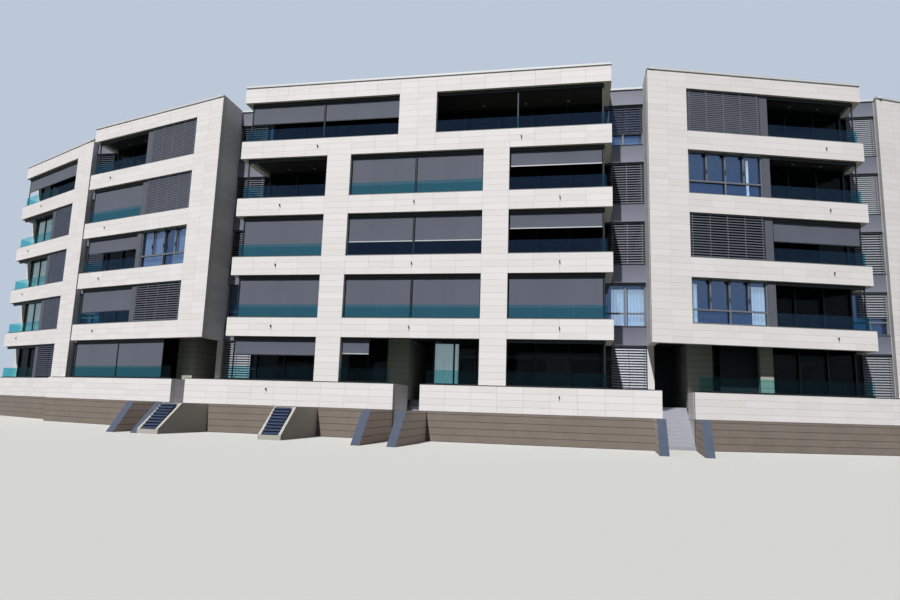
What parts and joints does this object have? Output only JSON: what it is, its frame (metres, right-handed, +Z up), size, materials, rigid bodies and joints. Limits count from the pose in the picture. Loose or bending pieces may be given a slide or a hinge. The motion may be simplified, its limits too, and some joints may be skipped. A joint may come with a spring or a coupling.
{
  "type": "five-wing apartment block, 1:2 scale model",
  "caption": "Flat-roofed apartment block with white-clad wings set back in steps, deep balconies, glass balustrades, sun screens and low garden walls.",
  "frame": {"origin": "middle of the overall box, at the level of the lawn that the walls and steps stand on", "axes": "the front of the centre wing faces -Y, +X is to the right as seen from the front, +Z up"},
  "size_m": [31.0088, 11.75, 8.75],
  "materials": {
    "cladding": "matt white facade panels with open joints",
    "grey_render": "matt grey-blue",
    "concrete": "smooth concrete and plaster",
    "frame_metal": "satin anthracite powder coat",
    "glass": "clear",
    "rail_glass": "clear with a green tint",
    "screen_cloth": "woven grey sun-screen cloth",
    "blind_metal": "satin dark slats",
    "head_metal": "satin dark grey",
    "post_metal": "satin anthracite",
    "paving": "matt brown-grey paving",
    "cheek_render": "matt blue-grey",
    "vent_metal": "satin dark blue",
    "door_metal": "satin dark grey"
  },
  "bodies": {
    "root": {"centre_bands": "cladding", "left_bands": "cladding", "right_bands": "cladding", "far_left_bands": "cladding", "far_right_bands": "cladding", "centre_piers": "cladding", "left_piers": "cladding", "right_piers": "cladding", "far_left_piers": "cladding", "far_right_piers": "cladding", "band_returns": "cladding", "side_walls": "cladding", "party_walls": "cladding", "cross_walls": "grey_render", "centre_floors": "concrete", "left_floors": "concrete", "right_floors": "concrete", "far_left_floors": "concrete", "far_right_floors": "concrete", "link_floors": "concrete", "balcony_slabs": "concrete", "centre_windows": "frame_metal", "left_windows": "frame_metal", "right_windows": "frame_metal", "far_left_windows": "frame_metal", "far_right_windows": "frame_metal", "link_spandrels": "grey_render", "link_windows": "frame_metal", "front_glass": "glass", "balustrades": "rail_glass", "screens": "screen_cloth", "blinds": "blind_metal", "screen_heads": "head_metal", "screen_posts": "post_metal", "garden_walls": "cladding", "plinth_walls": "paving", "terrace_walls": "cladding", "entrance_walls": "cladding", "passage_floors": "paving", "entrance_doors": "door_metal", "approach_steps": "paving", "approach_walls": "cheek_render", "vent_kerbs": "cladding", "vent_louvres": "vent_metal", "rear_bands": "cladding", "rear_piers": "cladding", "rear_windows": "frame_metal", "rear_glass": "glass", "end_walls": "cladding"}
  },
  "joints": []
}
